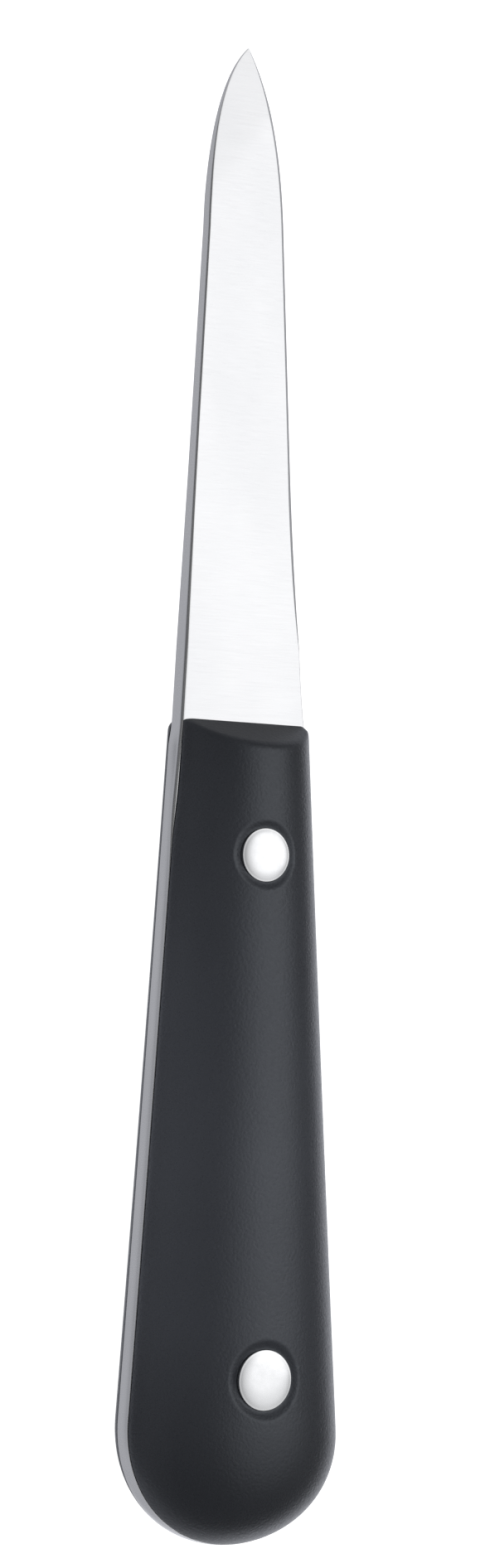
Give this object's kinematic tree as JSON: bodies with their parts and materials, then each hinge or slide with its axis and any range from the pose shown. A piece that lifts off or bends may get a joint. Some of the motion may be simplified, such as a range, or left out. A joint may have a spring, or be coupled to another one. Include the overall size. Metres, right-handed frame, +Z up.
{
  "type": "oyster knife",
  "caption": "Oyster knife with a short spear-pointed steel blade, full tang and rounded black handle scales held by rivets.",
  "frame": {"origin": "on the table under the middle of the knife, which lies on the crown of its rear scale", "axes": "+Y from the butt towards the tip, +X from the spine towards the cutting edge, +Z up out of the front face"},
  "size_m": [0.0266, 0.1698, 0.0181],
  "materials": {
    "blade_steel": "satin ground",
    "handle_plastic": "fine matte",
    "rivet_steel": "polished"
  },
  "bodies": {
    "root": {"blade": "blade_steel", "front_scale": "handle_plastic", "rear_scale": "handle_plastic", "neck_rivet_tube": "rivet_steel", "neck_rivet_stud": "rivet_steel", "butt_rivet_tube": "rivet_steel", "butt_rivet_stud": "rivet_steel"}
  },
  "joints": []
}
